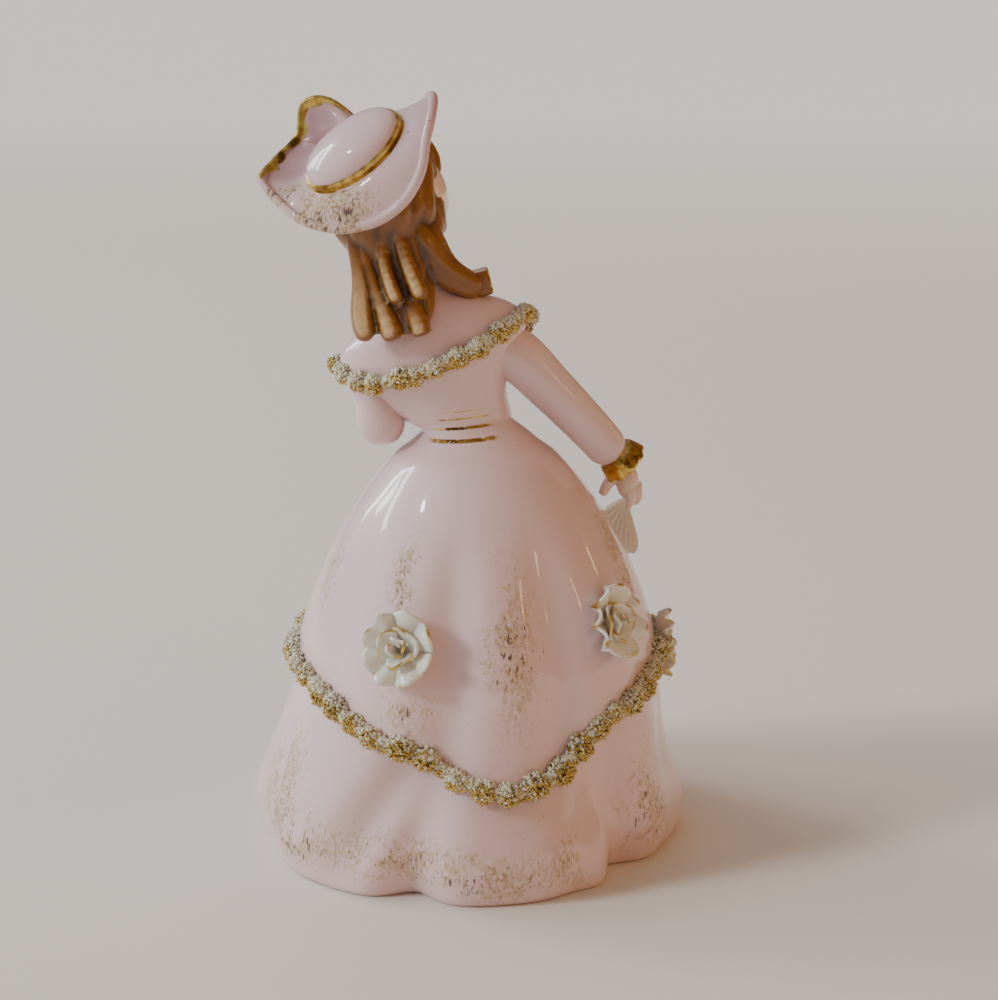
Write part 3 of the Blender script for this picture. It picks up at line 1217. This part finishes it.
def rose(name, spot, finish, seed):
    """A rose of one ruffled collar and petals curled round its heart, gilded along their edges."""
    angle, height = spot
    centre = skirt_point(angle, height)
    out = (skirt_point(angle, height + 3) - skirt_point(angle, height - 3)).cross(
        skirt_point(angle - 4, height) - skirt_point(angle + 4, height)
    ).normalized()
    side = Vector((0, 0, 1)).cross(out).normalized()
    up = out.cross(side)
    chance = random.Random(seed)
    made = bmesh.new()
    gold = made.verts.layers.float.new("gold")

    def petal(columns, rows, form, bare):
        """A sheet of petal: form(u, w) gives its reach, turn and height above the gown.

        bare thins out the gold on its edge.
        """
        before = len(made.verts)
        bmesh.ops.create_grid(made, x_segments=columns, y_segments=rows, size=1)
        for v in made.verts[:][before:]:
            u, w = (v.co.x + 1) / 2, (v.co.y + 1) / 2
            reach, turn, rise = form(u, w)
            v.co = centre + out * rise + side * reach * math.cos(turn) + up * reach * math.sin(turn)
            patch = noise.noise(v.co * 0.35 + Vector((seed, 0, 0)))
            v[gold] = step(w, 0.95, 0.985) * step(patch, bare, bare + 0.25)

    marks = [0]
    for _ in range(ROSE_LOBES):
        marks.append(marks[-1] + chance.uniform(0.7, 1.4))
    tall = [chance.uniform(0.35, 1.35) for _ in range(ROSE_LOBES)]
    wide = [chance.uniform(0.93, 1.05) for _ in range(ROSE_LOBES + 1)]
    wide[ROSE_LOBES] = wide[0]

    def ruffle(u, w):
        place = u * marks[-1]
        k = min(sum(mark <= place for mark in marks) - 1, ROSE_LOBES - 1)
        s = (place - marks[k]) / (marks[k + 1] - marks[k])
        fold = math.sin(math.pi * s) ** 0.9
        rise = 1 + 3.2 * w**1.3 + 3 * (fold - 0.45) * w**1.4 * tall[k]
        edge = ROSE_RADIUS * (wide[k] * (1 - s) + wide[k + 1] * s) * (0.96 + 0.04 * fold)
        return ROSE_HEART + (edge - ROSE_HEART) * w, TAU * u, rise

    petal(144, 10, ruffle, 0.05)
    start = chance.uniform(0, TAU)
    for k, (reach, low, high, length) in enumerate(CURLED_PETALS):

        def curl(u, w):
            begin = start + PETAL_STEP * k
            spiral = reach * (0.55 + 0.45 * u if length > 4 else 1)
            flare = 0.5 + 0.5 * w**1.5 - 0.12 * math.cos(TAU * 1.5 * u) * w
            rise = low + (high - low) * w * (1 - 0.3 * abs(2 * u - 1) ** 2)
            rise += 0.5 * math.sin(TAU * u * 1.3 + begin) * w
            return spiral * flare, begin + length * (u - 0.5), rise

        petal(26, 7, curl, -0.2)
    bmesh.ops.remove_doubles(made, verts=made.verts, dist=0.01)
    bmesh.ops.recalc_face_normals(made, faces=made.faces)
    whole = made.faces[:] + made.edges[:] + made.verts[:]
    bmesh.ops.solidify(made, geom=whole, thickness=PETAL_THICKNESS)
    return piece_of(made, name, finish)


def fan(finish):
    """The pleated leaf of the open fan."""
    pivot = Vector(FAN_PIVOT)
    inner = Vector(FAN_INNER_TIP) - pivot
    outer = Vector(FAN_OUTER_TIP) - pivot
    face = outer.cross(inner).normalized()
    spread = inner.angle(outer)
    along = outer.normalized()
    across = face.cross(outer).normalized()
    made = bmesh.new()
    bmesh.ops.create_grid(made, x_segments=64, y_segments=18, size=1)
    for v in made.verts:
        u, w = (v.co.x + 1) / 2, (v.co.y + 1) / 2
        shape = FAN_GUARD + (1 - FAN_GUARD) * math.sin(math.pi * u) ** 0.6
        pleat = abs((u * FAN_RIBS * 2) % 2 - 1)
        reach = 1 + (outer.length * shape * (1.01 - 0.02 * pleat) - 1) * w
        angle = spread * u
        fold = (pleat - 0.5) * FAN_FOLD * w
        here = pivot + along * reach * math.cos(angle) + across * reach * math.sin(angle) + face * fold
        v.co = bust(*here)
    whole = made.faces[:] + made.edges[:] + made.verts[:]
    bmesh.ops.solidify(made, geom=whole, thickness=FAN_LEAF)
    return piece_of(made, "fan_leaf", finish)


# Studio


def pale_floor():
    """A plain floor of pale paper that glows a little further out, so that it stays pale."""
    bpy.ops.mesh.primitive_plane_add(size=60, location=(0, 0, 0))
    floor = bpy.context.object
    floor.name = "floor"
    paper = Finish("pale paper")
    paper.set(Base_Color=PAPER, Roughness=0.85)
    away = paper.node("VectorMath", {"operation": "LENGTH"}, i0=paper.place()).outputs["Value"]
    glow = paper.math("MULTIPLY", paper.ramp(away, 0.3, 2.6), 0.33)
    paper.set(Emission_Color=PAPER_GLOW, Emission_Strength=glow)
    floor.data.materials.append(paper.material)


def room():
    """Cool light from the window's side and warm light from the other; the wall itself is pale."""
    world = bpy.data.worlds.new("studio")
    bpy.context.scene.world = world
    world.use_nodes = True
    made = Finish("studio", world.node_tree)
    way = made.node("TexCoord").outputs["Generated"]
    window = Vector(WINDOW_WAY).normalized()
    toward = made.node("VectorMath", {"operation": "DOT_PRODUCT"}, i0=way, i1=window).outputs["Value"]
    light = made.mix(made.ramp(toward, -0.3, 0.9), WARM_ROOM, COOL_ROOM)
    seen = made.node("LightPath").outputs["Is Camera Ray"]
    background = world.node_tree.nodes["Background"]
    made.feed(background.inputs["Color"], made.mix(seen, light, WALL))
    background.inputs["Strength"].default_value = 0.46


def lamp(name, low, high, width, power, tint):
    """An area light between two directions from the figure's middle; it shows in the glaze."""
    middle, distance = Vector((0, 0, 0.09)), 1.2
    low, high = Vector(low).normalized() * distance, Vector(high).normalized() * distance
    light = bpy.data.lights.new(name, "AREA")
    light.shape = "RECTANGLE"
    light.size, light.size_y = width, (high - low).length
    light.energy = power
    light.color = tint
    made = bpy.data.objects.new(name, light)
    bpy.context.scene.collection.objects.link(made)
    away = (low + high).normalized()
    along = (high - low).normalized()
    across = along.cross(away).normalized()
    turned = Matrix((across, away.cross(across), away)).transposed()
    made.matrix_world = Matrix.Translation(middle + away * distance) @ turned.to_4x4()


def daylight(name, way, spread, strength, tint):
    """Soft light from one side, out of the reflections."""
    made = bpy.data.objects.new(name, bpy.data.lights.new(name, "SUN"))
    made.data.angle = math.radians(spread)
    made.data.energy = strength
    made.data.color = tint
    made.rotation_euler = Vector(way).to_track_quat("Z", "Y").to_euler()
    made.visible_glossy = False
    bpy.context.scene.collection.objects.link(made)


def lights():
    """The edges and panes of the window, two warm strips, and soft light from four sides."""
    peak = (0.6, -0.46, 0.65)
    lamp("window left edge", (0.66, -0.72, 0.22), peak, 0.07, 1.5, COOL_LAMP)
    lamp("window right edge", (0.87, -0.3, 0.4), peak, 0.09, 1.5, COOL_LAMP)
    lamp("window pane", (0.79, -0.6, 0.36), (0.7, -0.48, 0.5), 0.12, 0.9, COOL_LAMP)
    lamp("bright pane", (0.68, 0.09, 0.71), (0.67, 0.1, 0.76), 0.08, 0.6, COOL_LAMP)
    lamp("warm strip", (-0.74, 0.56, 0.3), (-0.7, 0.6, 0.44), 0.05, 0.25, WARM_LAMP)
    lamp("far warm strip", (-0.957, -0.198, 0.2), (-0.931, -0.186, 0.315), 0.03, 0.12, WARM_LAMP)
    daylight("window light", (0.85, 0.15, 0.45), 14, 1.6, (0.86, 0.96, 1))
    daylight("sky light", (0.93, -0.3, 0.4), 70, 1.8, (0.84, 0.94, 1))
    daylight("room light", (-0.8, 0.55, 0.3), 80, 1.05, (1, 0.63, 0.29))
    daylight("front light", (-0.3, -1.1, 0.6), 60, 0.4, (1, 0.95, 0.9))


def camera():
    """The photograph's view."""
    data = bpy.data.cameras.new("photo view")
    data.lens = CAMERA_LENS
    data.sensor_width = 36
    data.clip_start = 0.01
    made = bpy.data.objects.new("photo view", data)
    bpy.context.scene.collection.objects.link(made)
    place = Vector(CAMERA_PLACE) * MM
    made.location = place
    made.rotation_euler = (Vector(CAMERA_TARGET) * MM - place).to_track_quat("-Z", "Y").to_euler()
    bpy.context.scene.camera = made


camera()
pink = pink_glaze(sponged_gold())
gold = gold_finish()
brown = hair_glaze()
skin = skin_glaze()
cream = cream_glaze()
crumbly = crumb_finish()

cast = [gown_and_bodice(pink), *arms(pink)]
cast += [cuff(RIGHT_WRIST, RIGHT_ARM, gold), cuff(LEFT_WRIST, LEFT_ARM, gold)]
cast += [*hands(skin), head(skin), hair(brown), hat(pink), ribbon(brown, cream, gold)]
lady = joined("porcelain_lady", cast)
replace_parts(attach(lady, "root"), "figurine")

trim = skirt_trim(crumbly)
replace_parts(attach(trim, "root"), "skirt_trim")
necklace = neck_trim(crumbly)
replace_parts(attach(necklace, "root"), "neckline_trim")
for seed, (name, spot) in enumerate(ROSES.items()):
    flower = rose(name + "_petals", spot, cream, seed)
    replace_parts(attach(flower, "root"), name)
leaf = fan(fan_glaze())
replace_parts(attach(leaf, "root"), "fan")

pale_floor()
room()
lights()
